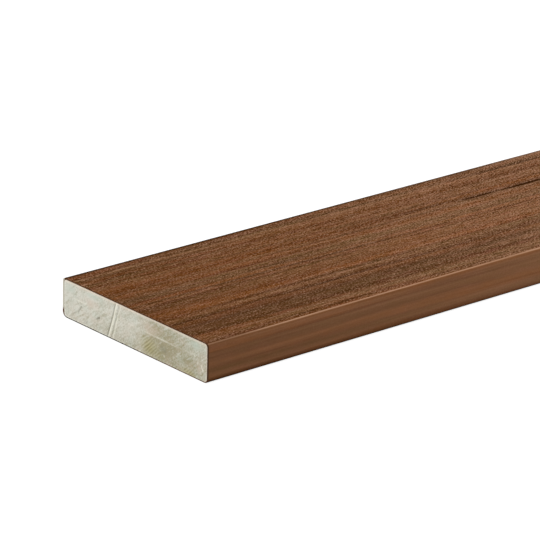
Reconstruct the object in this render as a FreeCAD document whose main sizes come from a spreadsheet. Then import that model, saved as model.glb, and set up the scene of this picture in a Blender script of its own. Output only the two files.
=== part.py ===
"""Capped decking board: a foamed core inside a thin co-extruded cap, square-edged, solid, ungrooved.

The board lies on its underside. X runs along its length, Y across its width and Z up through its
thickness. The origin is the middle of the underside. All sizes are in millimetres.

The core and the cap leave the die together, so both are straight extrusions of one cross-section.
The cap wraps all four long faces, full on the walking face and both edges and thin underneath, where
nothing wears it. The ends are sawn square, which leaves the core bare there, with the cap's cut edge
as a thin line round it.
"""

import FreeCAD, Part
import os
from math import radians

import Sketcher

PARTS_FOLDER = "parts"

# Driving sizes: alias, value and what it measures
SIZES = (
    ("board_length", 3657.6, "stock length, 12 ft"),
    ("board_width", 139.7, "finished width, 5 1/2 in"),
    ("board_thickness", 25.4, "finished thickness, 1 in"),
    ("shoulder_radius", 2.4, "round of the two upper long edges, outside"),
    ("foot_radius", 4.0, "round of the two lower long edges, outside"),
    ("core_shoulder_radius", 2.2, "round of the core's two upper long edges"),
    ("cap_top", 0.8, "cap thickness on the walking face"),
    ("cap_edge", 1.6, "cap thickness on the two long edges"),
    ("cap_underside", 0.6, "cap thickness on the underside"),
)

# The board's outside, read from the sheet
OUTSIDE = {
    "half_width": "Sizes.board_width / 2",
    "underside": "0",
    "top": "Sizes.board_thickness",
    "shoulder": "Sizes.shoulder_radius",
    "foot": "Sizes.foot_radius",
}

# The bond between core and cap: the outside moved in by the cap's thickness on each face.
# The core's shoulders are rounder than that, so the cap is thickest there.
BOND = {
    "half_width": "Sizes.board_width / 2 - Sizes.cap_edge",
    "underside": "Sizes.cap_underside",
    "top": "Sizes.board_thickness - Sizes.cap_top",
    "shoulder": "Sizes.core_shoulder_radius",
    "foot": "Sizes.foot_radius - Sizes.cap_edge",
}

# Sketcher's numbers for an edge's two ends and for the sketch's own origin and horizontal axis
START, END = 1, 2
ORIGIN = (-1, 1)
HORIZONTAL_AXIS = -1


def make_size_sheet(doc):
    """The spreadsheet that every outline and extrusion below reads."""
    sheet = doc.addObject("Spreadsheet::Sheet", "Sizes")
    for row, (alias, value, meaning) in enumerate(SIZES, start=1):
        sheet.set(f"A{row}", alias)
        sheet.set(f"B{row}", str(value))
        sheet.set(f"C{row}", meaning)
        sheet.setAlias(f"B{row}", alias)
    doc.recompute()


def tie(sketch, constraint, name, expression):
    """Adds a dimension to a sketch and binds it to the sheet."""
    sketch.renameConstraint(sketch.addConstraint(constraint), name)
    sketch.setExpression(f"Constraints.{name}", expression)


def draw_section(sketch, name, faces):
    """One closed outline of the board's section: four straight faces joined by four rounded corners."""
    size = {face: float(sketch.evalExpression(text)) for face, text in faces.items()}
    half, low, high = size["half_width"], size["underside"], size["top"]
    foot, shoulder = size["foot"], size["shoulder"]

    # Anticlockwise from the lower right: centre across, centre up, radius, first angle
    corners = (
        (half - foot, low + foot, foot, -90),
        (half - shoulder, high - shoulder, shoulder, 0),
        (-half + shoulder, high - shoulder, shoulder, 90),
        (-half + foot, low + foot, foot, 180),
    )
    arcs = []
    for across, up, radius, first in corners:
        centre = FreeCAD.Vector(across, up, 0)
        circle = Part.Circle(centre, FreeCAD.Vector(0, 0, 1), radius)
        quarter = Part.ArcOfCircle(circle, radians(first), radians(first + 90))
        arcs.append(sketch.addGeometry(quarter, False))

    sides = []
    for arc, following in zip(arcs, arcs[1:] + arcs[:1]):
        line = Part.LineSegment(sketch.getPoint(arc, END), sketch.getPoint(following, START))
        side = sketch.addGeometry(line, False)
        sketch.addConstraint(Sketcher.Constraint("Tangent", arc, END, side, START))
        sketch.addConstraint(Sketcher.Constraint("Tangent", side, END, following, START))
        sides.append(side)

    right_edge, top_face, left_edge, under_face = sides
    lower_right, upper_right, upper_left, lower_left = arcs
    sketch.addConstraint(Sketcher.Constraint("Vertical", right_edge))
    sketch.addConstraint(Sketcher.Constraint("Vertical", left_edge))
    sketch.addConstraint(Sketcher.Constraint("Horizontal", top_face))
    sketch.addConstraint(Sketcher.Constraint("Horizontal", under_face))
    sketch.addConstraint(Sketcher.Constraint("Equal", upper_right, upper_left))
    sketch.addConstraint(Sketcher.Constraint("Equal", lower_right, lower_left))

    tie(sketch, Sketcher.Constraint("Radius", upper_right, shoulder), f"{name}_shoulder", faces["shoulder"])
    tie(sketch, Sketcher.Constraint("Radius", lower_right, foot), f"{name}_foot", faces["foot"])
    to_right = Sketcher.Constraint("DistanceX", *ORIGIN, right_edge, START, half)
    to_left = Sketcher.Constraint("DistanceX", left_edge, START, *ORIGIN, half)
    to_top = Sketcher.Constraint("DistanceY", *ORIGIN, top_face, START, high)
    tie(sketch, to_right, f"{name}_right", faces["half_width"])
    tie(sketch, to_left, f"{name}_left", faces["half_width"])
    tie(sketch, to_top, f"{name}_top", faces["top"])
    if low == 0:
        on_floor = Sketcher.Constraint("PointOnObject", under_face, START, HORIZONTAL_AXIS)
        sketch.addConstraint(on_floor)
    else:
        to_underside = Sketcher.Constraint("DistanceY", *ORIGIN, under_face, START, low)
        tie(sketch, to_underside, f"{name}_underside", faces["underside"])


def extrude_section(doc, label, outlines):
    """A body whose section is drawn across the board and drawn out along its whole length."""
    body = doc.addObject("PartDesign::Body", label)
    section = body.newObject("Sketcher::SketchObject", f"{label}_section")
    across = next(o for o in body.Origin.OriginFeatures if o.Role == "YZ_Plane")
    section.AttachmentSupport = [(across, "")]
    section.MapMode = "FlatFace"
    for name, faces in outlines.items():
        draw_section(section, name, faces)
    doc.recompute()

    run = body.newObject("PartDesign::Pad", f"{label}_run")
    run.Profile = section
    run.SideType = "Symmetric"
    run.setExpression("Length", "Sizes.board_length")
    section.Visibility = False
    body.Tip = run
    return body


def check_document(doc):
    """Stops on a feature that failed or a sketch that isn't fully tied down."""
    for feature in doc.Objects:
        if {"Invalid", "Error"} & set(feature.State):
            raise RuntimeError(f"{feature.Label} failed to build: {feature.State}")
        if feature.TypeId == "Sketcher::SketchObject" and feature.solve() != 0:
            raise RuntimeError(f"{feature.Label} doesn't solve")


def export_nodes(bodies):
    """One STEP file for each piece, named by its label."""
    for body in bodies:
        if body.Shape.isNull() or not body.Shape.isValid() or not body.Shape.Solids:
            raise RuntimeError(f"{body.Label} has no valid solid")
    os.makedirs(PARTS_FOLDER, exist_ok=True)
    for body in bodies:
        body.Shape.exportStep(os.path.join(PARTS_FOLDER, f"{body.Label}.step"))
        litres = body.Shape.Volume / 1e6
        print(f"{body.Label}: {litres:.3f} litres, box {body.Shape.BoundBox}")


def main():
    doc = FreeCAD.newDocument("decking_board")
    make_size_sheet(doc)

    # The core fills the bond line, and the cap lies between it and the outside
    core = extrude_section(doc, "core", {"bond": BOND})
    cap = extrude_section(doc, "cap", {"outside": OUTSIDE, "bond": BOND})
    doc.recompute()

    check_document(doc)
    export_nodes([core, cap])


main()
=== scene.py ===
"""Capped decking board: the finish of its embossed cap and its sawn foam core, on a pale studio floor.

The board lies along X on its underside, with its walking face up. The end that is seen first is the
one at -X. All sizes are in metres unless a name says otherwise.

The cap is rebuilt as one closed tube with the wood grain pressed into its walking face. The core is
rebuilt as one closed bar whose two sawn ends carry the marks of the saw and of the foam.
"""

import math

import bpy
import numpy as np
from mathutils import Matrix, Vector


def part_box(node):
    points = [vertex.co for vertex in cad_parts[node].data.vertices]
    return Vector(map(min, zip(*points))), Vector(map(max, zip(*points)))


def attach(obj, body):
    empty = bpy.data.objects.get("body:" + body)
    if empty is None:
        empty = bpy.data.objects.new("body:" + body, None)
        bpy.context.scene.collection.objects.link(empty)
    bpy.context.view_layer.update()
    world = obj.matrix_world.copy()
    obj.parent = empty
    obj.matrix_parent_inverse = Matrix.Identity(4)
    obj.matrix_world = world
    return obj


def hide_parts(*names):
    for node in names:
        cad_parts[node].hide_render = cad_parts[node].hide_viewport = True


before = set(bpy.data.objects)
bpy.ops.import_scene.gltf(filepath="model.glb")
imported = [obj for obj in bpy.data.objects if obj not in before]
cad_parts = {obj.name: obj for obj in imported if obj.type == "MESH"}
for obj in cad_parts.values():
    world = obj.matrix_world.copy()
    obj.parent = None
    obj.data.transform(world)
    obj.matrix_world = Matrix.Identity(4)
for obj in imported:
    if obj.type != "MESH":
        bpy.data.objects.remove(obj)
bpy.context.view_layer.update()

bl_info = {
    "name": "Capped decking board",
    "version": (1, 0, 0),
    "blender": (4, 5, 0),
    "location": "3D View > Sidebar > Decking board",
    "description": "Dresses a capped decking board with its pressed grain, streaks and sawn ends",
    "category": "Object",
}

MILLIMETRE = 0.001

CAP_LOW, CAP_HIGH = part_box("cap")
CORE_LOW, CORE_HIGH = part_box("core")
HALF_LENGTH = CAP_HIGH.x
HALF_WIDTH = CAP_HIGH.y
THICKNESS = CAP_HIGH.z
CAP_TOP = CAP_HIGH.z - CORE_HIGH.z
CAP_EDGE = CAP_HIGH.y - CORE_HIGH.y
CAP_UNDERSIDE = CORE_LOW.z - CAP_LOW.z

# Places on the cap are measured round the section from where a shoulder's round starts, + down the edge.
# The embossing stops at its reach, after a short fade.
EMBOSSED_REACH = 0.0006
EMBOSSED_FADE = 0.0002

# Bands there, each with a middle and a half width: the painted highlight along the near shoulder, the
# painted shade below both shoulders, the painted shade over the far one, and the painted shade round the
# feet
SHOULDER_HIGHLIGHT_BAND = (0.0012, 0.0008)
SHADE_BAND = (0.0026, 0.0013)
FAR_SHADE_BAND = (0.0006, 0.0034)
FOOT_BAND = (0.0268, 0.0047)

# Where something starts, and how steeply it rises from there, for each metre: the gloss of the edges,
# and on the cut rings their two sides, the dust of the foam, the part that is clear of the painted shade
# at the bottom, and that painted shade along the foot
GLOSS_RISE = (0.0016, 1000)
RING_SIDE_RISE = (0.0679, 1600)
DUST_RISE = (0.0045, 600)
CLEAR_RISE = (0.0009, 2000)
BOTTOM_SHADE_RISE = (-0.030, 30)

# How near to the board's ends the cap counts as cut
CUT_SKIN = 0.00005

# Noises of the cap: how long their features are, how wide, and a seed
BANDS = (1.60, 0.018, 3.1)
STREAKS = (0.60, 0.0044, 7.7)
HAIRLINES = (0.110, 0.0014, 12.4)
BRUSH = (0.0075, 0.0014, 21.5)
SPECKS = (0.0012, 0.0010, 33.9)
HUE = (0.50, 0.0070, 51.3)
FLECKS = (0.0100, 0.0024, 63.8)
BLUSH = (0.0160, 0.0040, 81.4)

# Noises of the sawn foam in the same way, one of them with more detail
SLANTED = (0.0070, 0.0009, 5.2)
BLOTCHES = (0.0080, 0.0110, 9.6, 2.0)
CELLS = (0.0010, 0.0010, 17.3)
TINT = (0.0050, 0.0070, 31.8)
WAVER = (0.0050, 0.0050, 44.1)

# On the sawn end: depth of the foam's denser skin, how deep the cream line lies under the walking face
# and its half width, the width over which the relief starts at the rim, the slant of the saw's strokes,
# and the slant and spacing of the hatching in the stains
SKIN_DEPTH = 0.0009
CREAM_BAND = (0.0009, 0.0006)
RIM_WIDTH = 0.0006
SAW_SLANT = math.radians(36)
HATCH_SLANT = math.radians(42)
HATCH_SPACING = 0.0018

# The saw's cuts and burrs: how many, and the limits of their half lengths and of their half widths. Both
# have the same limits for their strength and for how far they lean off the saw's slant.
SAW_CUTS = (300, (0.0015, 0.008), (0.0002, 0.0006))
SAW_BURRS = (300, (0.0015, 0.008), (0.0002, 0.0005))
SAW_STRENGTH = (0.2, 1.0)
SAW_LEAN = (-0.18, 0.18)

# Painted shade: the foam is darker towards the near edge: where across the end that starts, and over what
# width
END_SHADE_START = 0.050
END_SHADE_RUN = 0.070

# The cap's columns round its section: over the top, round a corner, up an edge and underneath
TOP_COLUMNS = 190
CORNER_COLUMNS = 6
EDGE_COLUMNS = 6
UNDER_COLUMNS = 14

# Its stations along the board: in the crowded part near the shown end, and in the rest
NEAR_STATIONS = 100
FAR_STATIONS = 250
CROWDED_LENGTH = 0.45

# The grid of a sawn end: rows round a corner and up an edge, and columns across
CORNER_ROWS = 7
EDGE_ROWS = 44
END_COLUMNS = 400

# Points of the cap's outline below this height belong to its underside
UNDERSIDE_HEIGHT = 0.00001

# Stations along the cap's bore and along the core's sides, which are hidden
HIDDEN_STATIONS = 13

# The angle between faces that counts as an edge, and the seeds of the random strokes
EDGE_ANGLE = math.radians(50)
GRAIN_SEED = 41
SAW_SEED = 11

# Each lamp: its name, where it shines from, its strength and how wide it looks, in degrees
LAMPS = (
    ("overhead_lamp", (0.25, -0.30, 0.92), 0.42, 30),
    ("front_lamp", (-0.76, -0.46, 0.46), 0.60, 50),
)

# Greys of the floor: as it lights the board, and as the camera sees it under its glow
LIGHTING_GREY = (0.5, 0.5, 0.5, 1)
SEEN_GREY = (0.27, 0.27, 0.27, 1)
WHITE = (1, 1, 1, 1)

# Slow drift of the tone along the board: its wavelength and its phase at the middle
DRIFT_LENGTH = 1.5
DRIFT_PHASE = 6.4


def from_srgb(red, green, blue):
    """A colour as it is seen on a screen, 0 to 255, as the linear colour that a shader takes."""
    shares = (red / 255, green / 255, blue / 255)
    return tuple(s / 12.92 if s <= 0.04045 else ((s + 0.055) / 1.055) ** 2.4 for s in shares)


def length_setting(name, value, description):
    return bpy.props.FloatProperty(
        name=name,
        description=description,
        default=value,
        min=0,
        precision=5,
        subtype="DISTANCE",
        unit="LENGTH",
    )


def share_setting(name, value, description, highest=1.0):
    return bpy.props.FloatProperty(
        name=name, description=description, default=value, min=0, max=highest, subtype="FACTOR"
    )


def colour_setting(name, value, description):
    return bpy.props.FloatVectorProperty(
        name=name, description=description, default=value, size=3, min=0, max=1, subtype="COLOR"
    )


def angle_setting(name, degrees, description):
    return bpy.props.FloatProperty(
        name=name, description=description, default=math.radians(degrees), subtype="ANGLE", unit="ROTATION"
    )


class DECKBOARD_PG_section(bpy.types.PropertyGroup):
    """The board's section"""

    shoulder_radius: length_setting("Shoulder radius", 0.0024, "Round of the two upper long edges")
    foot_radius: length_setting("Foot radius", 0.0040, "Round of the two lower long edges")
    core_shoulder_radius: length_setting("Core shoulder radius", 0.0022, "Round of the core's upper edges")
    cap_top: length_setting("Cap on top", CAP_TOP, "Cap thickness on the walking face")
    cap_edge: length_setting("Cap on edges", CAP_EDGE, "Cap thickness on the long edges")
    cap_underside: length_setting("Cap underneath", CAP_UNDERSIDE, "Cap thickness on the underside")


class DECKBOARD_PG_cap(bpy.types.PropertyGroup):
    """The cap's finish"""

    groove_depth: length_setting("Groove depth", 0.00028, "Depth of the deepest pressed grain line")
    brush_depth: length_setting("Brush depth", 0.00020, "Depth of the fine brushed marks between the lines")
    dark_brown: colour_setting("Dark brown", from_srgb(90, 50, 19), "Darker bands of the blend")
    light_brown: colour_setting("Light brown", from_srgb(141, 96, 62), "Lighter bands of the blend")
    orange: colour_setting("Orange", from_srgb(128, 73, 29), "Warm streaks")
    olive: colour_setting("Olive", from_srgb(100, 80, 44), "Cooler, greener bands")
    rosy: colour_setting("Rosy", from_srgb(150, 94, 78), "Pinkish patches")
    # Dark pigment streaks, and also the colour of the painted shade on the cap
    pigment_and_shade: colour_setting("Pigment", from_srgb(50, 26, 6), "Dark pigment streaks")
    dusk: colour_setting("Dusk", from_srgb(84, 73, 60), "Greyer tone of the long edges")
    # Pale streaks, and also the colour of the painted sheen over the cap and the painted highlight on
    # raised specks
    pale: colour_setting("Pale", from_srgb(160, 122, 97), "Pale streaks and raised specks")
    # Painted highlight along the near shoulder
    shoulder_highlight: colour_setting("Burnished", from_srgb(166, 131, 105), "Line rolled into the near shoulder")
    cut_brown: colour_setting("Cut edge", from_srgb(92, 63, 43), "The cap where the saw went through it")
    foam_dust: colour_setting("Foam dust", from_srgb(198, 194, 180), "Foam smeared over the cut by the saw")
    # Painted shade along the bottom of the cut ring
    ring_bottom_shade: colour_setting("Grime", from_srgb(46, 43, 34), "Dirt on the lowest edge of the cut")
    edge_gloss: share_setting("Edge gloss", 0.12, "Gloss of the smooth long edges")
    edge_roughness: share_setting("Edge roughness", 0.35, "Roughness of the smooth long edges")
    face_roughness: share_setting("Face roughness", 0.68, "Roughness of the embossed walking face")


class DECKBOARD_PG_core(bpy.types.PropertyGroup):
    """The core's finish"""

    saw_depth: length_setting("Saw mark depth", 0.00012, "Depth of the deepest saw stroke")
    ridge_height: length_setting("Knit ridge height", 0.0003, "Height of the slanted knit ridge")
    cell_depth: length_setting("Cell depth", 0.00010, "Depth of the foam's cells and fine saw texture")
    foam: colour_setting("Foam", from_srgb(212, 210, 198), "Sawn foam where it is brightest")
    dull_foam: colour_setting("Dull foam", from_srgb(154, 147, 118), "Sawn foam where it is dullest")
    warm_foam: colour_setting("Warm foam", from_srgb(206, 186, 168), "Pinkish tint")
    cool_foam: colour_setting("Cool foam", from_srgb(186, 198, 184), "Greenish tint")
    stain: colour_setting("Stain", from_srgb(160, 151, 106), "Yellow-green stain")
    stain_dark: colour_setting("Stain, dark", from_srgb(100, 91, 54), "Dark strokes of its hatching")
    stain_light: colour_setting("Stain, light", from_srgb(214, 205, 166), "Light strokes of its hatching")
    # Paler colour of the raised knit lines, the seam and the chips, partly the foam's own and partly
    # painted highlight
    ridge: colour_setting("Knit ridge", from_srgb(231, 228, 212), "Raised knit lines")
    # Painted shade in the sunk lines beside the knit lines, also the colour of one grey smudge
    shadow: colour_setting("Knit valley", from_srgb(128, 125, 108), "Sunk lines beside the knit lines")
    skin: colour_setting("Foam skin", from_srgb(222, 208, 190), "Denser foam beside the cap")
    cream: colour_setting("Cream", from_srgb(250, 233, 214), "Line under the walking face")
    roughness: share_setting("Roughness", 0.85, "Roughness of the sawn foam")


class DECKBOARD_PG_stage(bpy.types.PropertyGroup):
    """Floor, lamps and camera"""

    floor_reach: length_setting("Floor reach", 60.0, "Half the side of the floor")
    ambient: share_setting("Ambient", 0.5, "Light from all round", 2.0)
    floor_glow: share_setting("Floor glow", 0.84, "How much of the floor's white the camera sees in shade")
    azimuth: angle_setting("Azimuth", -40.92, "Camera's angle round the board, 0 looks along +Y")
    elevation: angle_setting("Elevation", 20.52, "Camera's angle above the floor")
    roll: angle_setting("Roll", 1.34, "Camera's roll")
    lens: bpy.props.FloatProperty(
        name="Lens",
        description="Focal length in millimetres",
        default=254.6,
        min=1,
        subtype="DISTANCE_CAMERA",
    )
    eye: bpy.props.FloatVectorProperty(
        name="Eye",
        description="Camera's place, from the middle of the shown end's lower edge",
        default=(-1.3288, -1.6553, 0.8467),
        size=3,
        subtype="TRANSLATION",
        unit="LENGTH",
    )


class Wire:
    """A shader socket's value. Arithmetic on it adds Math nodes."""

    def __init__(self, shader, socket):
        self.shader = shader
        self.socket = socket

    def __add__(self, other):
        return self.shader.math("ADD", self, other)

    def __radd__(self, other):
        return self.shader.math("ADD", other, self)

    def __sub__(self, other):
        return self.shader.math("SUBTRACT", self, other)

    def __rsub__(self, other):
        return self.shader.math("SUBTRACT", other, self)

    def __mul__(self, other):
        return self.shader.math("MULTIPLY", self, other)

    def __rmul__(self, other):
        return self.shader.math("MULTIPLY", other, self)

    def __gt__(self, other):
        return self.shader.math("GREATER_THAN", self, other)

    def __abs__(self):
        return self.shader.math("ABSOLUTE", self)

    def clamped(self):
        return self.shader.math("ADD", self, 0.0, clamp=True)


class Shader:
    """The nodes of one material or world, as they are wired up."""

    def __init__(self, owner):
        owner.use_nodes = True
        self.tree = owner.node_tree
        self.tree.nodes.clear()

    def add(self, kind, settings=None, sockets=None, out=0):
        """Adds a node: its settings first, then a value or a link for each of its sockets."""
        node = self.tree.nodes.new(kind)
        for name, value in (settings or {}).items():
            setattr(node, name, value)
        for name, value in (sockets or {}).items():
            if isinstance(value, Wire):
                self.tree.links.new(value.socket, node.inputs[name])
            else:
                node.inputs[name].default_value = value
        return Wire(self, node.outputs[out]) if len(node.outputs) else node

    def math(self, operation, first, second=0.0, clamp=False):
        settings = {"operation": operation, "use_clamp": clamp}
        return self.add("ShaderNodeMath", settings, {0: first, 1: second})

    def attribute(self, name):
        """A number that the mesh carries at each vertex."""
        return self.add("ShaderNodeAttribute", {"attribute_name": name}, out="Fac")

    def blend(self, share, colour, other):
        """Two colours mixed: a share of 0 or less gives the first, and 1 or more the second."""
        ends = [c if isinstance(c, Wire) else (*c, 1.0) for c in (colour, other)]
        settings = {"data_type": "RGBA", "clamp_factor": True}
        return self.add("ShaderNodeMix", settings, {0: share, 6: ends[0], 7: ends[1]}, out=2)

    def noise(self, across, along, length, width, seed, detail=1.0):
        """Noise drawn out along the grain, about 0 on average: features are length long and width wide."""
        scaled = {"X": along * (1 / length), "Y": across * (1 / width), "Z": seed}
        place = self.add("ShaderNodeCombineXYZ", {}, scaled)
        settings = {"noise_dimensions": "3D"}
        sockets = {"Vector": place, "Scale": 1.0, "Detail": detail}
        return self.add("ShaderNodeTexNoise", settings, sockets) - 0.5

    def surface(self, shader_wire):
        self.add("ShaderNodeOutputMaterial", {}, {"Surface": shader_wire})


def rounded_outline(half_width, low, high, foot, shoulder, counts):
    """A section's outline as (y, z) points, from the near lower corner up, over and down again."""
    top_count, arc_count, edge_count, under_count = counts
    points = []

    def straight(start, end, count):
        for k in range(count):
            share = k / count
            points.append((start[0] + (end[0] - start[0]) * share, start[1] + (end[1] - start[1]) * share))

    def quarter(centre, radius, first):
        for k in range(arc_count):
            angle = math.radians(first - 90 * k / arc_count)
            points.append((centre[0] + radius * math.cos(angle), centre[1] + radius * math.sin(angle)))

    side, flat_top, flat_foot = half_width, half_width - shoulder, half_width - foot
    straight((-side, low + foot), (-side, high - shoulder), edge_count)
    quarter((-flat_top, high - shoulder), shoulder, 180)
    straight((-flat_top, high), (flat_top, high), top_count)
    quarter((flat_top, high - shoulder), shoulder, 90)
    straight((side, high - shoulder), (side, low + foot), edge_count)
    quarter((flat_foot, low + foot), foot, 0)
    straight((flat_foot, low), (-flat_foot, low), under_count)
    quarter((-flat_foot, low + foot), foot, -90)
    return np.array(points)


def press_strokes(field, along, across, strokes):
    """Presses long tapered strokes into a field.

    Each stroke is its middle, half length, place across, half width and depth.
    """
    for middle, half_length, place, half_width, depth in strokes:
        rows = slice(*np.searchsorted(along, (middle - half_length, middle + half_length)))
        run = (along[rows] - middle) / half_length
        taper = (1 - run**2) ** 2
        spread = np.exp(-(((across[rows] - place) / half_width) ** 2))
        field[rows] = np.maximum(field[rows], depth * taper[:, None] * spread)


def random_strokes(chance, count, half_length, half_width, reach, depth):
    """Strokes scattered over the board, each size drawn between its two limits."""
    middle = chance.uniform(-HALF_LENGTH, HALF_LENGTH, count)
    halves = np.exp(chance.uniform(*np.log(half_length), count))
    places = chance.uniform(*reach, count)
    widths = chance.uniform(*half_width, count)
    depths = chance.uniform(*depth, count)
    return np.stack([middle, halves, places, widths, depths], axis=1)


def shown_strokes(rows):
    """Strokes near the shown end, from rows in millimetres: start, end, place, half width and strength."""
    strokes = []
    for start, end, place, half_width, strength in rows:
        middle = -HALF_LENGTH + (start + end) / 2 * MILLIMETRE
        half_length = (end - start) / 2 * MILLIMETRE
        strokes.append((middle, half_length, place * MILLIMETRE, half_width * MILLIMETRE, strength))
    return strokes


# Streaks near the shown end, in millimetres: start, end, place across, half width and strength. One that
# starts below 0 is cut off by the end, and a place beyond the near shoulder is down the near edge.
DARK_STREAKS = (
    (-60, 70, -33.5, 0.9, 0.7),
    (50, 190, -33.6, 0.8, 0.8),
    (5, 36, -30, 0.8, 0.5),
    (200, 330, 28.5, 1.2, 0.55),
    (235, 455, 25.7, 1.1, 0.6),
    (278, 336, 25.9, 1.2, 2.2),
    (318, 378, 25.6, 1.35, 2.9),
    (350, 440, 25.9, 1.6, 3.0),
    (222, 300, 30.0, 1.2, 0.5),
    (296, 440, 58.5, 1.3, 1.1),
    (190, 330, -38, 2.2, 0.35),
    (10, 75, -10.5, 1.0, 0.5),
    (95, 140, -18.5, 1.0, 0.45),
    (0, 60, 50.2, 0.8, 0.6),
    (215, 320, -41.5, 1.1, 0.65),
    (-60, 75, -68.5, 1.4, 0.8),
    (-260, 150, -94.0, 1.8, 1.5),
    (40, 400, -94.4, 1.3, 1.0),
    (130, 225, -40, 3.5, 0.4),
    (60, 165, -50, 3.5, 0.35),
    (-50, 80, -4, 2.0, 0.35),
    (150, 290, 33, 2.6, 0.3),
    (140, 200, -55, 1.6, 0.35),
    (250, 300, -52, 1.3, 0.35),
)

# Broad darker zones there
DARK_ZONES = (
    (-400, 480, -44, 10.0, 0.50),
    (-300, 420, -57.5, 3.0, 0.20),
    (-300, 340, -12, 6.0, 0.30),
    (-250, 150, -7, 6.0, 0.54),
    (-120, 60, -20, 3.0, 0.42),
    (100, 500, 40, 4.0, 0.20),
    (-200, 260, -78.5, 1.8, 0.35),
    (100, 420, -76.5, 1.5, 0.30),
    (-200, 260, -86.3, 1.6, 0.35),
    (-200, 140, -81.6, 1.8, 0.45),
    (-200, 130, 27, 9.0, 0.12),
    (-300, 320, 33, 3.5, 0.16),
    (-160, 110, 12, 7.0, 0.40),
)
WARM_STREAKS = (
    (-250, 330, 30, 5.5, 0.55),
    (-250, 330, -14, 5.0, 0.60),
    (-250, 170, -8, 4.0, 0.60),
    (-300, 260, -44, 6.0, 0.40),
    (50, 170, 32, 3.4, 0.6),
    (-10, 60, 28, 2.2, 0.6),
    (0, 95, -15, 3.0, 0.65),
    (-20, 70, -60, 2.2, 0.5),
    (35, 80, -30, 1.8, 0.5),
    (290, 400, 33.0, 2.4, 1.0),
    (180, 250, -9, 3.5, 0.6),
    (-40, 16, 33, 3.5, 0.8),
    (-40, 12, -9, 3.5, 0.8),
    (255, 320, 17.5, 2.4, 0.5),
    (180, 260, -12, 2.4, 0.4),
    (-50, 400, -27, 2.6, 0.35),
)
PALE_STREAKS = (
    (-7, 6, 51, 1.4, 1.0),
    (-6, 5, -60, 1.4, 1.0),
    (140, 290, 54.5, 1.1, 0.6),
    (50, 185, -21, 1.6, 0.5),
    (180, 250, -21, 1.3, 0.4),
    (215, 320, -47, 1.4, 0.5),
    (40, 150, 2.4, 1.2, 0.35),
    (40, 125, 53, 1.0, 0.4),
    (300, 370, 22.5, 1.0, 0.5),
    (300, 346, 27.8, 0.9, 0.9),
    (266, 304, 56.8, 0.9, 0.8),
    (40, 520, 12, 9.0, 0.16),
    (-300, 520, 60, 5.0, 0.30),
    (150, 700, 66.0, 2.6, 0.85),
    (-100, 330, 63.2, 1.6, 0.35),
    (50, 140, 45.5, 3.0, 0.25),
    (-50, 400, -27, 2.5, 0.45),
    (60, 460, -66.6, 1.8, 0.55),
    (-40, 90, -65.5, 1.4, 0.40),
    (30, 300, 6, 6.0, 0.16),
    (150, 350, 57, 3.0, 0.40),
    (160, 560, -73.5, 3.5, 0.50),
    (-100, 420, -72.6, 2.4, 0.40),
    (120, 460, -88.5, 2.0, 0.35),
)
SHOWN_STREAKS = {
    "groove": DARK_STREAKS,
    "dark_streak": DARK_STREAKS + DARK_ZONES,
    "warm_streak": WARM_STREAKS,
    "pale_streak": PALE_STREAKS,
}

# Random strokes over the whole board: how many, and the limits of their half lengths, half widths, places
# across and strengths. The pressed lines keep to the walking face, and the streaks run down the edges too.
FACE_REACH = (-HALF_WIDTH, HALF_WIDTH)
ROUND_REACH = (-HALF_WIDTH - THICKNESS, HALF_WIDTH + THICKNESS)
RANDOM_STROKES = {
    "groove": (3200, (0.015, 0.16), (0.0005, 0.0012), FACE_REACH, (0.25, 1.0)),
    "dark_streak": (700, (0.03, 0.50), (0.0005, 0.0014), ROUND_REACH, (0.08, 0.60)),
    "warm_streak": (300, (0.04, 0.45), (0.0010, 0.0034), ROUND_REACH, (0.10, 0.50)),
    "pale_streak": (600, (0.04, 0.50), (0.0005, 0.0014), ROUND_REACH, (0.10, 0.45)),
}

# Waves of the grain's wander: height, wavelength, phase, and how the phase turns for each metre across
WANDER_WAVES = (
    (0.0008, 0.83, 0.4, 9.0),
    (0.0003, 0.31, 1.9, 21.0),
    (0.0001, 0.14, 3.3, 47.0),
)


def grain_wander(along, round_the_section):
    """How far the grain drifts across the board, in slow waves that change across it."""
    wander = np.zeros(np.broadcast(along, round_the_section).shape)
    for height, wavelength, phase, turn in WANDER_WAVES:
        wander += height * np.sin(2 * math.pi * along / wavelength + phase + turn * round_the_section)
    return wander


def grain_fields(along, round_section):
    """At each vertex: the grain's own place across the board, and the strength of each kind of stroke."""
    grain_across = round_section[None, :] + grain_wander(along[:, None], round_section[None, :])
    straight_across = np.broadcast_to(round_section, grain_across.shape)
    chance = np.random.default_rng(GRAIN_SEED)
    fields = {}
    for heading, limits in RANDOM_STROKES.items():
        field = np.zeros(grain_across.shape)
        press_strokes(field, along, grain_across, random_strokes(chance, *limits))
        press_strokes(field, along, straight_across, shown_strokes(SHOWN_STREAKS[heading]))
        fields[heading] = field
    fields["grain_across"] = grain_across
    return fields


def distance_round(outline, start):
    """How far each outline point is round the section from one of them, + on the far side."""
    steps = np.linalg.norm(outline - np.roll(outline, 1, axis=0), axis=1)
    travelled = np.cumsum(steps)
    distance = travelled - travelled[start]
    return np.where(distance > travelled[-1] / 2, distance - travelled[-1], distance)


def quads(rows, columns, offset=0, closed=True, flip=False):
    """The faces of a grid of vertices, with its last column joined to its first if it is closed."""
    column = np.arange(columns if closed else columns - 1)
    row = np.arange(rows - 1)[:, None]
    following = (column + 1) % columns
    corners = [row * columns + column, (row + 1) * columns + column]
    corners += [(row + 1) * columns + following, row * columns + following]
    faces = np.stack(np.broadcast_arrays(*corners), axis=-1).reshape(-1, 4) + offset
    return faces[:, ::-1] if flip else faces


def ring_faces(outer, inner, columns, flip):
    """The faces of a flat ring between two loops of vertices that start at outer and inner."""
    column = np.arange(columns)
    following = (column + 1) % columns
    faces = np.stack([outer + column, outer + following, inner + following, inner + column], axis=-1)
    return faces[:, ::-1] if flip else faces


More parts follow.
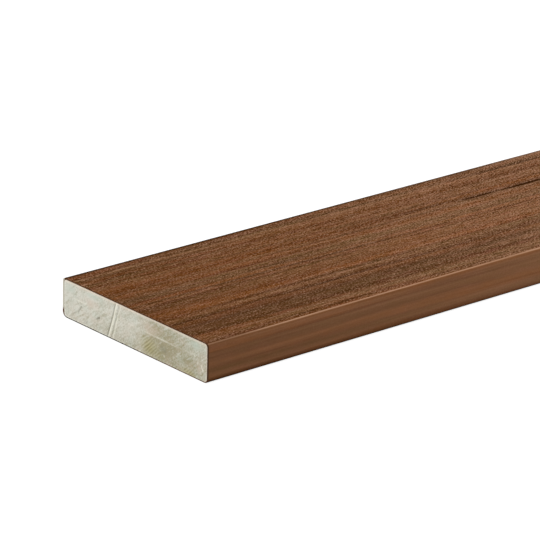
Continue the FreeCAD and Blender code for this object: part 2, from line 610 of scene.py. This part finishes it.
def add_object(name, data):
    """A new object in the scene."""
    added = bpy.data.objects.new(name, data)
    bpy.context.scene.collection.objects.link(added)
    return added


def make_piece(name, points, faces, numbers, material, node):
    """One named mesh with a number for each vertex under each heading, standing for a node of the frame."""
    mesh = bpy.data.meshes.new(name)
    mesh.from_pydata(points.tolist(), [], faces.tolist())
    for heading, values in numbers.items():
        layer = mesh.attributes.new(heading, "FLOAT", "POINT")
        layer.data.foreach_set("value", np.ascontiguousarray(values, dtype=np.float32).ravel())
    mesh.shade_smooth()
    mesh.set_sharp_from_angle(angle=EDGE_ANGLE)
    mesh.materials.append(material)
    if mesh.validate():
        raise RuntimeError(f"{name} has broken faces")
    piece = add_object(name, mesh)
    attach(piece, "root")
    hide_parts(node)
    return piece


def band(place, middle_and_half_width):
    """1 in the middle of a band, falling to 0 at its two sides."""
    middle, half_width = middle_and_half_width
    return (1 - abs(place - middle) * (1 / half_width)).clamped()


def rising(place, start_and_steepness):
    """0 up to a place, then rising to 1."""
    start, steepness = start_and_steepness
    return ((place - start) * steepness).clamped()


class Grain:
    """What the cap's mesh and noises say at each point, shared by the steps of its colour."""

    def __init__(self, shader):
        self.shader = shader
        place = {"Vector": shader.add("ShaderNodeTexCoord", out="Object")}
        self.along, self.side, self.up = (
            shader.add("ShaderNodeSeparateXYZ", {}, place, out=axis) for axis in "XYZ"
        )
        self.across = shader.attribute("grain_across")
        self.groove = shader.attribute("groove")
        self.dark = shader.attribute("dark_streak")
        self.warm = shader.attribute("warm_streak")
        self.pale = shader.attribute("pale_streak")
        self.past = shader.attribute("past_shoulder")
        self.far = self.side > 0
        self.foot = band(self.past, FOOT_BAND)

        # The embossing stops on the shoulder
        self.embossed = ((EMBOSSED_REACH - self.past) * (1 / EMBOSSED_FADE)).clamped()
        self.drift = shader.math("SINE", self.along * (2 * math.pi / DRIFT_LENGTH) + DRIFT_PHASE)
        self.hairlines = self.noise(HAIRLINES)
        self.brushed = self.noise(BRUSH)
        self.specks = self.noise(SPECKS)

    def noise(self, sizes):
        """One of the cap's noises, which follows the grain as it wanders."""
        return self.shader.noise(self.across, self.along, *sizes)


def cap_browns(shader, finish, grain):
    """The blend of two browns: a slow drift of the tone, broad bands, streaks and hairlines."""
    drift, embossed = grain.drift, grain.embossed
    tone = 0.32 + embossed * 0.145 + drift * 0.22 + grain.noise(BANDS) * (1.0 + embossed * 0.9)
    tone = tone + grain.noise(STREAKS) * (0.9 + embossed * (3.0 + drift * 1.3))
    tone = tone + grain.hairlines * (0.7 + embossed * (1.8 + drift * 0.4))
    colour = shader.blend(tone, finish.dark_brown, finish.light_brown)

    # Where the drift is low the walking face is darker and the edges are greyer. A pale haze over all of
    # the cap is painted sheen, stronger where the drift is high
    colour = shader.blend((0.14 - drift * 0.17) * embossed, colour, finish.pigment_and_shade)
    painted_sheen = 0.16 + drift * 0.11 + (drift * 0.04 - 0.05) * embossed
    colour = shader.blend(painted_sheen, colour, finish.pale)
    return shader.blend((0.06 - drift * 0.10) * (1 - embossed), colour, finish.dusk)


def cap_hues(shader, finish, grain, colour):
    """Bands and short flecks that lean to orange or to olive, and a rosy blush, all weaker on the edges."""
    embossed = grain.embossed
    hue = grain.noise(HUE) * (0.65 + embossed * 0.35)
    flecks = grain.noise(FLECKS) * (0.40 + embossed * 0.60)
    blush = grain.noise(BLUSH) * (0.30 + embossed * 0.70)
    colour = shader.blend(hue * 2.4 + flecks * 0.8, colour, finish.orange)
    colour = shader.blend(hue * -2.0 - flecks * 0.6, colour, finish.olive)
    colour = shader.blend(blush, colour, finish.rosy)
    return shader.blend(blush * -0.8, colour, finish.olive)


def cap_streaks(shader, finish, grain, colour):
    """Warm, pale and dark streaks, pressed lines, and fine marks painted as highlight and shade, all weaker
    on the edges.
    """
    drift, embossed, hairlines = grain.drift, grain.embossed, grain.hairlines

    # The fine marks are brushed strokes and specks, which are calmer where the drift is low
    marks = grain.brushed * (1.45 + drift * 0.35) + grain.specks * (5.2 + drift * 2.2)
    marks = marks * (0.08 + embossed * 0.92)

    strength = 0.40 + embossed * 0.60
    warm = grain.warm * (0.20 + embossed * 0.80) * (0.70 + hairlines * 2)
    pale = grain.pale * strength * (0.50 + hairlines * 2 + marks)
    dark = grain.dark * strength * (1.25 + hairlines * 2 + marks)
    colour = shader.blend(warm, colour, finish.orange)
    colour = shader.blend(pale, colour, finish.pale)
    colour = shader.blend(dark, colour, finish.pigment_and_shade)
    colour = shader.blend(grain.groove * embossed * 0.25, colour, finish.pigment_and_shade)
    # Painted highlight on the raised parts of the fine marks, and painted shade in their pits
    colour = shader.blend(marks * 0.82, colour, finish.pale)
    colour = shader.blend(marks * -0.94, colour, finish.pigment_and_shade)

    # Only the strongest dark streaks cover the marks
    return shader.blend((grain.dark - 1) * (1 + marks), colour, finish.pigment_and_shade)


def cap_edges(shader, finish, grain, colour):
    """A painted highlight along the near shoulder, and painted shade below both shoulders, over the far one
    and round the feet.
    """
    drift, past = grain.drift, grain.past
    # Painted highlight along the near shoulder, which faces the light
    shoulder_highlight = 0.77 + drift * 0.12 + grain.hairlines * 2 - grain.dark * 0.45
    shoulder_highlight = band(past, SHOULDER_HIGHLIGHT_BAND) * (1 - grain.far) * shoulder_highlight
    colour = shader.blend(shoulder_highlight, colour, finish.shoulder_highlight)
    # Painted shade over the far shoulder, which faces away from the light
    far_shade = band(past, FAR_SHADE_BAND) * grain.far * (0.75 - drift * 0.35)
    colour = shader.blend(far_shade, colour, finish.pigment_and_shade)
    # Painted shade below both shoulders
    colour = shader.blend(band(past, SHADE_BAND) * 0.12, colour, finish.pigment_and_shade)
    # Painted shade round the feet, where the board meets the floor
    return shader.blend(grain.foot * (0.38 - drift * 0.42), colour, finish.pigment_and_shade)


def cut_rings(shader, finish, grain, colour):
    """The cap's cut: painted shade beside the near edge, dusted with foam beside the far one, painted shade
    at the foot.
    """
    # Painted shade on the ring beside the near edge
    near_shade = rising(grain.side * -1, RING_SIDE_RISE)
    dusted = rising(grain.side, RING_SIDE_RISE) * rising(grain.up, DUST_RISE)
    # Painted shade along the bottom of the ring, except beside the near edge
    bottom_shade = (1 - rising(grain.up, CLEAR_RISE)) * rising(grain.side, BOTTOM_SHADE_RISE)
    ring = shader.blend(near_shade * 0.65, finish.cut_brown, finish.pigment_and_shade)
    ring = shader.blend(dusted * 0.9, ring, finish.foam_dust)
    ring = shader.blend(bottom_shade * 0.9, ring, finish.ring_bottom_shade)
    return shader.blend(abs(grain.along) > (HALF_LENGTH - CUT_SKIN), colour, ring)


def cap_material(finish):
    """Brown cap: streaked along the grain, pressed on top, smooth on the edges and dark where it is cut."""
    material = bpy.data.materials.new("embossed_cap")
    shader = Shader(material)
    grain = Grain(shader)
    colour = cap_browns(shader, finish, grain)
    for step in (cap_hues, cap_streaks, cap_edges, cut_rings):
        colour = step(shader, finish, grain, colour)

    # The flats of the long edges are a little glossy, and the rounds above and below them aren't
    gloss = rising(grain.past, GLOSS_RISE) * (1 - grain.foot * 2).clamped()
    height = (grain.brushed + grain.specks) * grain.embossed
    relief = {"Strength": 1.0, "Distance": finish.brush_depth, "Height": height}
    sockets = {
        "Base Color": colour,
        "Roughness": finish.face_roughness,
        "Specular IOR Level": 0.0,
        "Coat Weight": (gloss * finish.edge_gloss).clamped(),
        "Coat Roughness": finish.edge_roughness,
        "Normal": shader.add("ShaderNodeBump", {}, relief),
    }
    shader.surface(shader.add("ShaderNodeBsdfPrincipled", {}, sockets))
    return material


def cap_outlines(section):
    """The outlines of the cap's outside and of its bore, with the same number of points."""
    counts = (TOP_COLUMNS, CORNER_COLUMNS, EDGE_COLUMNS, UNDER_COLUMNS)
    outside = rounded_outline(
        HALF_WIDTH, 0.0, THICKNESS, section.foot_radius, section.shoulder_radius, counts
    )
    bore = rounded_outline(
        HALF_WIDTH - section.cap_edge,
        section.cap_underside,
        THICKNESS - section.cap_top,
        section.foot_radius - section.cap_edge,
        section.core_shoulder_radius,
        counts,
    )
    return outside, bore


def cap_stations():
    """Places along the board, which crowd towards the shown end."""
    turn = -HALF_LENGTH + CROWDED_LENGTH
    near_part = np.linspace(-HALF_LENGTH, turn, NEAR_STATIONS, endpoint=False)
    return np.concatenate([near_part, np.linspace(turn, HALF_LENGTH, FAR_STATIONS)])


def draw_out(outline, along, depth):
    """An outline's points at each station along the board, each pushed in by its depth."""
    step = np.roll(outline, -1, axis=0) - np.roll(outline, 1, axis=0)
    outward = np.stack([-step[:, 1], step[:, 0]], axis=1) / np.linalg.norm(step, axis=1)[:, None]
    pushed = outline[None, :, :] - outward[None, :, :] * depth[:, :, None]
    lengthwise = np.broadcast_to(along[:, None, None], (*depth.shape, 1))
    return np.concatenate([lengthwise, pushed], axis=2).reshape(-1, 3)


def make_cap(section, finish):
    """The cap as one closed tube, with the grain pressed down into its walking face."""
    outside, bore = cap_outlines(section)
    along = cap_stations()
    columns = len(outside)
    middle = EDGE_COLUMNS + CORNER_COLUMNS + TOP_COLUMNS // 2
    round_section = distance_round(outside, middle) + outside[middle, 0]
    past_shoulder = np.abs(round_section) - (HALF_WIDTH - section.shoulder_radius)

    # The underside's grain is drawn in evenly, so that it meets the grain of both feet
    under = outside[:, 1] < UNDERSIDE_HEIGHT
    foot_place = np.abs(round_section[under]).min()
    under_place = outside[:, 0] * foot_place / (HALF_WIDTH - section.foot_radius)
    fields = grain_fields(along, np.where(under, under_place, round_section))

    # Pressing covers the walking face and stops on the shoulders
    pressed_part = np.clip((EMBOSSED_REACH - past_shoulder) / EMBOSSED_REACH, 0, 1)
    depth = np.minimum(fields["groove"], 1) * pressed_part[None, :] * finish.groove_depth
    hidden_along = np.linspace(-HALF_LENGTH, HALF_LENGTH, HIDDEN_STATIONS)
    hidden = np.zeros((HIDDEN_STATIONS, columns))
    points = np.vstack([draw_out(outside, along, depth), draw_out(bore, hidden_along, hidden)])

    first_bore = len(along) * columns
    last_bore = first_bore + (HIDDEN_STATIONS - 1) * columns
    faces = np.vstack(
        [
            quads(len(along), columns),
            quads(HIDDEN_STATIONS, columns, offset=first_bore, flip=True),
            ring_faces(0, first_bore, columns, flip=False),
            ring_faces(first_bore - columns, last_bore, columns, flip=True),
        ]
    )

    # The bore is hidden, so its numbers are 0
    fields["past_shoulder"] = np.broadcast_to(past_shoulder, depth.shape)
    numbers = {heading: np.vstack([field, hidden]) for heading, field in fields.items()}
    return make_piece("cap_skin", points, faces, numbers, cap_material(finish), "cap")


def saw_directions(across, up):
    """Places on a sawn end along the saw's strokes, and aside from them."""
    along_strokes = up * math.sin(SAW_SLANT) - across * math.cos(SAW_SLANT)
    aside = up * math.cos(SAW_SLANT) + across * math.sin(SAW_SLANT)
    return along_strokes, aside


def core_material(finish):
    """Sawn foam: pale, duller and yellower in places, with fine cells and slanted saw marks."""
    material = bpy.data.materials.new("sawn_foam")
    shader = Shader(material)
    place = {"Vector": shader.add("ShaderNodeTexCoord", out="Object")}
    across, up = (shader.add("ShaderNodeSeparateXYZ", {}, place, out=axis) for axis in "YZ")
    cut = shader.attribute("saw_cut")
    burr = shader.attribute("saw_burr")
    ridge = shader.attribute("knit_ridge")
    valley = shader.attribute("knit_valley")
    dull = shader.attribute("dull")
    warmth = shader.attribute("warmth")
    stain = shader.attribute("stain")
    skin = shader.attribute("foam_skin")
    cream = shader.attribute("cream_line")

    # The saw's slanted texture, the foam's blotches and its cells
    along_strokes, aside = saw_directions(across, up)
    slanted = shader.noise(aside, along_strokes, *SLANTED)
    blotches = shader.noise(across, up, *BLOTCHES)
    cells = shader.noise(across, up, *CELLS)
    tint = warmth + shader.noise(across, up, *TINT) * 1.6

    # Hatching of the stains, dark and light by turns
    hatch_place = up * math.cos(HATCH_SLANT) + across * math.sin(HATCH_SLANT)
    waver = shader.noise(across, up, *WAVER) * 3
    hatch = shader.math("SINE", hatch_place * (2 * math.pi / HATCH_SPACING) + waver)

    shade = dull + blotches * 0.6 + slanted * 0.60 + cells * 1.2 + cut * 0.50 - burr * 0.35
    colour = shader.blend(shade, finish.foam, finish.dull_foam)
    colour = shader.blend(tint * 0.5, colour, finish.warm_foam)
    colour = shader.blend(tint * -0.5, colour, finish.cool_foam)
    colour = shader.blend(stain * 0.88, colour, finish.stain)
    colour = shader.blend(stain * (hatch * 0.42 + slanted * 0.8), colour, finish.stain_dark)
    colour = shader.blend(stain * (hatch * -0.34 - slanted * 0.8), colour, finish.stain_light)
    # Painted shade in the sunk lines beside the knit lines, with one grey smudge of the foam's own, and on
    # the raised lines a paler colour, partly the foam's own and partly painted highlight
    colour = shader.blend(valley * 0.8, colour, finish.shadow)
    colour = shader.blend(ridge, colour, finish.ridge)
    colour = shader.blend(skin * 0.95, colour, finish.skin)
    colour = shader.blend(cream * (0.36 - dull * 0.26), colour, finish.cream)

    relief = {"Strength": 1.0, "Distance": finish.cell_depth, "Height": cells + slanted}
    sockets = {
        "Base Color": colour,
        "Roughness": finish.roughness,
        "Specular IOR Level": 0.2,
        "Normal": shader.add("ShaderNodeBump", {}, relief),
    }
    shader.surface(shader.add("ShaderNodeBsdfPrincipled", {}, sockets))
    return material


def section_rows(half_width, low, high, foot, shoulder):
    """Heights of a sawn end's rows and the half width of each: the rows crowd where the corners turn."""
    rows = []
    for k in range(CORNER_ROWS):
        angle = math.radians(90 - 90 * k / CORNER_ROWS)
        rows.append((low + foot - foot * math.sin(angle), half_width - foot + foot * math.cos(angle)))
    upright = high - shoulder - low - foot
    for k in range(EDGE_ROWS):
        rows.append((low + foot + upright * k / EDGE_ROWS, half_width))
    for k in range(CORNER_ROWS + 1):
        angle = math.radians(90 * k / CORNER_ROWS)
        height = high - shoulder + shoulder * math.sin(angle)
        rows.append((height, half_width - shoulder + shoulder * math.cos(angle)))
    return np.array(rows)


def segment_distance(across, up, start, end):
    """Distance of each point of a sawn end from the line between two points, both (across, up)."""
    run = np.array(end) - np.array(start)
    share = ((across - start[0]) * run[0] + (up - start[1]) * run[1]) / (run @ run)
    share = np.clip(share, 0, 1)
    return np.hypot(across - start[0] - share * run[0], up - start[1] - share * run[1])


def soft_line(across, up, start, end, half_width):
    """1 on a line drawn on a sawn end, in millimetres, and 0 beside it."""
    scaled = [np.array(point) * MILLIMETRE for point in (start, end)]
    distance = segment_distance(across, up, *scaled)
    return np.exp(-((distance / (half_width * MILLIMETRE)) ** 2))


def soft_spot(across, up, centre, half_size):
    """1 in the middle of a spot on a sawn end, in millimetres, and 0 outside it."""
    aside = (across / MILLIMETRE - centre[0]) / half_size[0]
    above = (up / MILLIMETRE - centre[1]) / half_size[1]
    return np.exp(-(aside**2 + above**2))


def saw_strokes(chance, across, up, count, half_length, half_width):
    """Fine slanted strokes of the saw over one end, 0 to 1."""
    run, drift = saw_directions(across, up)
    strokes = zip(
        chance.uniform(run.min(), run.max(), count),
        chance.uniform(drift.min(), drift.max(), count),
        chance.uniform(*half_length, count),
        chance.uniform(*half_width, count),
        chance.uniform(*SAW_STRENGTH, count),
        chance.uniform(*SAW_LEAN, count),
    )
    field = np.zeros(across.shape)
    for middle, place, length, width, depth, lean in strokes:
        taper = np.clip(1 - ((run - middle) / length) ** 2, 0, 1)
        aside = (drift - place - (run - middle) * lean) / width
        field = np.maximum(field, depth * taper * np.exp(-(aside**2)))
    return field


# Lines of a sawn end in millimetres across and up: two points, a half width and a strength. The first
# two lists are the shown end's.
KNIT_RIDGES = (
    ((17.2, 24.2), (20.1, 13.6), 0.58, 1.0),
    ((20.1, 13.6), (24.6, 0.8), 0.82, 1.0),
    ((13.0, 24.2), (16.2, 15.4), 0.34, 0.7),
    ((16.2, 15.4), (20.6, 0.8), 0.42, 0.9),
)
KNIT_VALLEYS = (
    ((18.7, 24.2), (21.6, 13.6), 0.50, 0.9),
    ((21.6, 13.6), (26.2, 0.8), 0.60, 1.1),
    ((15.1, 24.2), (18.2, 14.0), 0.28, 0.6),
    ((18.2, 14.0), (22.6, 0.8), 0.30, 0.7),
    ((36.6, 8.2), (34.0, 9.6), 0.60, 1.1),
    ((55.0, 7.0), (51.8, 11.4), 0.50, 0.8),
    ((61.0, 3.6), (57.0, 6.5), 0.50, 0.4),
    ((47.6, 1.6), (45.6, 4.0), 0.30, 0.6),
    ((49.4, 1.6), (47.8, 3.4), 0.30, 0.5),
    ((-25.6, 8.8), (-29.4, 7.6), 1.70, 0.42),
)

# Small chips of the shown end where the foam broke out pale
PALE_CHIPS = (
    ((-28.0, 4.8), (-28.3, 4.2), 0.38, 0.7),
    ((-55.8, 14.6), (-56.4, 13.8), 0.45, 0.6),
    ((-62.5, 9.6), (-64.4, 6.3), 0.42, 0.8),
    ((-59.4, 10.2), (-59.6, 9.2), 0.42, 0.5),
    ((-9.6, 21.0), (-10.0, 20.4), 0.45, 0.7),
)

# The seam along the middle of both ends
KNIT_SEAM = (
    ((58, 14.5), (47, 14.5), 0.45, 0.50),
    ((47, 14.5), (-10, 14.5), 0.40, 0.20),
    ((-10, 14.5), (-37, 14.2), 0.42, 0.36),
    ((-21, 14.4), (-31, 14.3), 0.52, 0.56),
    ((-37, 14.2), (-54, 14.3), 0.40, 0.15),
)

# Spots of the shown end in millimetres: the middle, the half sizes and a strength
DULL_SPOTS = (
    ((-27, 9), (12, 16), 0.38),
    ((-48, 10), (14, 20), 0.34),
    ((-5, 2), (12, 8), 0.12),
    ((-31, 10), (7, 4), 0.14),
    ((-18, 21), (9, 3.5), 0.30),
    ((-23, 15.0), (11, 8), 0.26),
    ((-52, 8), (7, 3), 0.18),
    ((30, 5), (12, 4), 0.10),
    ((-27.5, 8.4), (2.6, 2.8), 0.12),
)
WARM_SPOTS = (
    ((42, 16.5), (5, 3), 0.9),
    ((-14, 18), (7, 4), 1.0),
    ((-61, 9), (3, 6), 0.6),
    ((5, 12), (9, 5), 0.4),
)
COOL_SPOTS = (
    ((-56.5, 20.5), (6, 4), 1.0),
    ((40, 21.5), (7, 2.5), 0.9),
    ((64, 19), (6, 3), 0.8),
    ((-2, 20), (5, 4), 0.5),
)
STAIN_SPOTS = (
    ((-14, 6.0), (6.8, 5.6), 0.95),
    ((-22, 3.2), (5, 2.4), 0.50),
    ((-51, 1.8), (6.5, 2.2), 0.80),
)


def strongest(across, up, shape, rows):
    """The strongest of several soft lines or spots at each point of a sawn end."""
    fields = [strength * shape(across, up, *row) for *row, strength in rows]
    return np.max(fields, axis=0)


def sawn_end(chance, across, up, shown):
    """The marks on one sawn end: saw strokes, the foam's knit lines, its stains and its tints."""
    marks = {
        "saw_cut": saw_strokes(chance, across, up, *SAW_CUTS),
        "saw_burr": saw_strokes(chance, across, up, *SAW_BURRS),
        "knit_ridge": strongest(across, up, soft_line, KNIT_SEAM),
    }
    for heading in ("knit_valley", "dull", "warmth", "stain"):
        marks[heading] = np.zeros(across.shape)
    marks["dull"] += 0.32
    if shown:
        warm = strongest(across, up, soft_spot, WARM_SPOTS)
        cool = strongest(across, up, soft_spot, COOL_SPOTS)
        # Painted shade, rising towards the near edge
        shade_ramp = np.clip((END_SHADE_START - across) / END_SHADE_RUN, 0, 1)
        spots = sum(strength * soft_spot(across, up, *row) for *row, strength in DULL_SPOTS)
        marks["knit_ridge"] = strongest(across, up, soft_line, KNIT_SEAM + KNIT_RIDGES + PALE_CHIPS)
        marks["knit_valley"] = strongest(across, up, soft_line, KNIT_VALLEYS)
        marks["warmth"] = warm - cool
        marks["stain"] = strongest(across, up, soft_spot, STAIN_SPOTS)
        # An even base, the painted shade towards the near edge, the spots, and darker towards the bottom
        marks["dull"] = 0.08 + 0.24 * shade_ramp + spots + 0.10 * (1 - up / THICKNESS)
    return marks


def end_border(row_count, column_count):
    """The vertices round the grid of a sawn end, in order."""
    row, column = np.arange(row_count), np.arange(column_count)
    return np.concatenate(
        [
            column,
            row[1:] * column_count + column_count - 1,
            (row_count - 1) * column_count + column[-2::-1],
            row[-2:0:-1] * column_count,
        ]
    )


def core_sides(border, border_points, grid):
    """Points and faces of the long sides, which join the two ends' borders through hidden stations."""
    stations = np.linspace(-HALF_LENGTH, HALF_LENGTH, HIDDEN_STATIONS)[1:-1]
    points, faces, loops = [], [], [border]
    for number, station in enumerate(stations):
        points.append(np.column_stack([np.full(len(border), station), border_points]))
        loops.append(2 * grid + number * len(border) + np.arange(len(border)))
    loops.append(grid + border)
    for loop, following in zip(loops, loops[1:]):
        ahead, following_ahead = np.roll(loop, -1), np.roll(following, -1)
        faces.append(np.stack([loop, following, following_ahead, ahead], axis=-1)[:, ::-1])
    return points, faces


def make_core(section, finish):
    """The core as one closed bar, finely gridded on its two sawn ends."""
    low, high = section.cap_underside, THICKNESS - section.cap_top
    foot = section.foot_radius - section.cap_edge
    rows = section_rows(HALF_WIDTH - section.cap_edge, low, high, foot, section.core_shoulder_radius)
    row_half_width = rows[:, 1:2]
    across = row_half_width * np.linspace(-1, 1, END_COLUMNS)[None, :]
    up = np.broadcast_to(rows[:, :1], across.shape)

    # Denser skin just inside the cap, under the walking face and beside the near edge, and a cream line
    skin = np.exp(-((np.minimum(high - up, row_half_width + across) / SKIN_DEPTH) ** 2))
    cream_depth, cream_half_width = CREAM_BAND
    cream = np.exp(-(((high - up - cream_depth) / cream_half_width) ** 2))

    # The relief fades out at the rim, where the foam meets the cap
    to_face = np.minimum(up - low, high - up)
    rim = np.clip(np.minimum(row_half_width - np.abs(across), to_face) / RIM_WIDTH, 0, 1)

    points, numbers, faces = [], {}, []
    grid = across.size
    for index, (end, shown) in enumerate(((-1, True), (1, False))):
        marks = sawn_end(np.random.default_rng(SAW_SEED + index), across, up, shown)
        marks["foam_skin"] = skin
        marks["cream_line"] = cream
        sunk = (marks["saw_cut"] - 0.5 * marks["saw_burr"]) * finish.saw_depth
        sunk = sunk + (1 + marks["knit_valley"] - marks["knit_ridge"]) * finish.ridge_height
        points.append(np.stack([end * (HALF_LENGTH - sunk * rim), across, up], axis=-1).reshape(-1, 3))
        for heading, values in marks.items():
            numbers.setdefault(heading, []).append(values.ravel())
        faces.append(quads(*across.shape, offset=index * grid, closed=False, flip=end > 0))

    border = end_border(*across.shape)
    border_points = np.stack([across.ravel()[border], up.ravel()[border]], axis=1)
    side_points, side_faces = core_sides(border, border_points, grid)
    points, faces = np.vstack(points + side_points), np.vstack(faces + side_faces)

    # The sides are hidden, so their numbers are 0
    hidden = np.zeros(len(points) - 2 * grid)
    numbers = {heading: np.concatenate([*values, hidden]) for heading, values in numbers.items()}
    return make_piece("core_foam", points, faces, numbers, core_material(finish), "core")


def light_path_white(shader):
    """1 for what the camera, a reflection or glass looks at, and 0 for what only lights."""
    rays = ("Is Camera Ray", "Is Glossy Ray", "Is Transmission Ray")
    seen, mirrored, through = (shader.add("ShaderNodeLightPath", out=ray) for ray in rays)
    return (seen + mirrored + through).clamped()


def make_world(stage):
    """Soft white light all round, against a white background."""
    world = bpy.data.worlds.new("studio")
    bpy.context.scene.world = world
    shader = Shader(world)
    soft = shader.add("ShaderNodeBackground", {}, {"Color": WHITE, "Strength": stage.ambient})
    white = shader.add("ShaderNodeBackground", {}, {"Color": WHITE, "Strength": 1.0})
    seen = light_path_white(shader)
    both = shader.add("ShaderNodeMixShader", {}, {0: seen, 1: soft, 2: white})
    shader.add("ShaderNodeOutputWorld", {}, {"Surface": both})


def make_floor(stage):
    """A white floor that keeps a faint shadow."""
    reach = stage.floor_reach
    mesh = bpy.data.meshes.new("floor")
    corners = [(-reach, -reach, 0), (reach, -reach, 0), (reach, reach, 0), (-reach, reach, 0)]
    mesh.from_pydata(corners, [], [(0, 1, 2, 3)])
    material = bpy.data.materials.new("white_floor")
    shader = Shader(material)
    lit = shader.add("ShaderNodeBsdfDiffuse", {}, {"Color": LIGHTING_GREY})
    faint = shader.add("ShaderNodeBsdfDiffuse", {}, {"Color": SEEN_GREY})
    glow = shader.add("ShaderNodeEmission", {}, {"Color": WHITE, "Strength": stage.floor_glow})
    shown = shader.add("ShaderNodeAddShader", {}, {0: faint, 1: glow})
    seen = light_path_white(shader)
    shader.surface(shader.add("ShaderNodeMixShader", {}, {0: seen, 1: lit, 2: shown}))
    mesh.materials.append(material)
    floor = add_object("floor", mesh)


def make_lamp(name, towards, strength, width):
    """A distant soft lamp that shines from a direction, width across as seen from the board."""
    light = bpy.data.lights.new(name, "SUN")
    light.energy = strength * math.pi
    light.angle = math.radians(width)
    lamp = add_object(name, light)
    lamp.rotation_mode = "QUATERNION"
    lamp.rotation_quaternion = Vector(towards).to_track_quat("Z", "Y")


def make_camera(stage):
    """The camera at the photograph's place and angle."""
    azimuth, elevation, roll = stage.azimuth, stage.elevation, stage.roll
    level = math.cos(elevation)
    back = Vector((math.sin(azimuth) * level, -math.cos(azimuth) * level, math.sin(elevation)))
    right = Vector((math.cos(azimuth), math.sin(azimuth), 0))
    up = back.cross(right)
    rolled_right = right * math.cos(roll) + up * math.sin(roll)
    rolled_up = up * math.cos(roll) - right * math.sin(roll)
    data = bpy.data.cameras.new("camera")
    data.sensor_width = 36.0
    data.lens = stage.lens
    data.clip_end = 200.0
    camera = add_object("camera", data)
    turn = Matrix((rolled_right, rolled_up, back)).transposed().to_4x4()
    eye = Vector((-HALF_LENGTH, 0, 0)) + Vector(stage.eye)
    camera.matrix_world = Matrix.Translation(eye) @ turn
    bpy.context.scene.camera = camera


class DECKBOARD_OT_core(bpy.types.Operator):
    """Build the foam core with its two sawn ends"""

    bl_idname = "deckboard.core"
    bl_label = "Foam core"
    bl_options = {"REGISTER", "UNDO"}

    def execute(self, context):
        make_core(context.scene.deckboard_section, context.scene.deckboard_core)
        return {"FINISHED"}


class DECKBOARD_OT_cap(bpy.types.Operator):
    """Build the brown cap with its grain pressed into the walking face"""

    bl_idname = "deckboard.cap"
    bl_label = "Embossed cap"
    bl_options = {"REGISTER", "UNDO"}

    def execute(self, context):
        make_cap(context.scene.deckboard_section, context.scene.deckboard_cap)
        return {"FINISHED"}


class DECKBOARD_OT_stage(bpy.types.Operator):
    """Set up the floor, the light and the camera"""

    bl_idname = "deckboard.stage"
    bl_label = "Studio"
    bl_options = {"REGISTER", "UNDO"}

    def execute(self, context):
        stage = context.scene.deckboard_stage
        context.scene.view_settings.view_transform = "Standard"
        make_world(stage)
        make_floor(stage)
        for lamp in LAMPS:
            make_lamp(*lamp)
        make_camera(stage)
        return {"FINISHED"}


class DECKBOARD_PT_panel(bpy.types.Panel):
    """Lists the board's pieces and their settings"""

    bl_idname = "DECKBOARD_PT_panel"
    bl_label = "Decking board"
    bl_space_type = "VIEW_3D"
    bl_region_type = "UI"
    bl_category = "Decking board"

    def draw(self, context):
        scene = context.scene
        for title, group, operator in PARTS:
            box = self.layout.box()
            box.label(text=title)
            settings = getattr(scene, group)
            for name in settings.__annotations__:
                box.prop(settings, name)
            if operator:
                box.operator(operator)


GROUPS = {
    "deckboard_section": DECKBOARD_PG_section,
    "deckboard_cap": DECKBOARD_PG_cap,
    "deckboard_core": DECKBOARD_PG_core,
    "deckboard_stage": DECKBOARD_PG_stage,
}
PARTS = (
    ("Section", "deckboard_section", None),
    ("Core", "deckboard_core", DECKBOARD_OT_core.bl_idname),
    ("Cap", "deckboard_cap", DECKBOARD_OT_cap.bl_idname),
    ("Studio", "deckboard_stage", DECKBOARD_OT_stage.bl_idname),
)
CLASSES = (*GROUPS.values(), DECKBOARD_OT_core, DECKBOARD_OT_cap, DECKBOARD_OT_stage, DECKBOARD_PT_panel)


def register():
    for cls in CLASSES:
        bpy.utils.register_class(cls)
    for name, group in GROUPS.items():
        setattr(bpy.types.Scene, name, bpy.props.PointerProperty(type=group))


def unregister():
    for name in GROUPS:
        delattr(bpy.types.Scene, name)
    for cls in reversed(CLASSES):
        bpy.utils.unregister_class(cls)


def main():
    register()
    bpy.ops.deckboard.core()
    bpy.ops.deckboard.cap()
    bpy.ops.deckboard.stage()


if __name__ == "__main__":
    main()
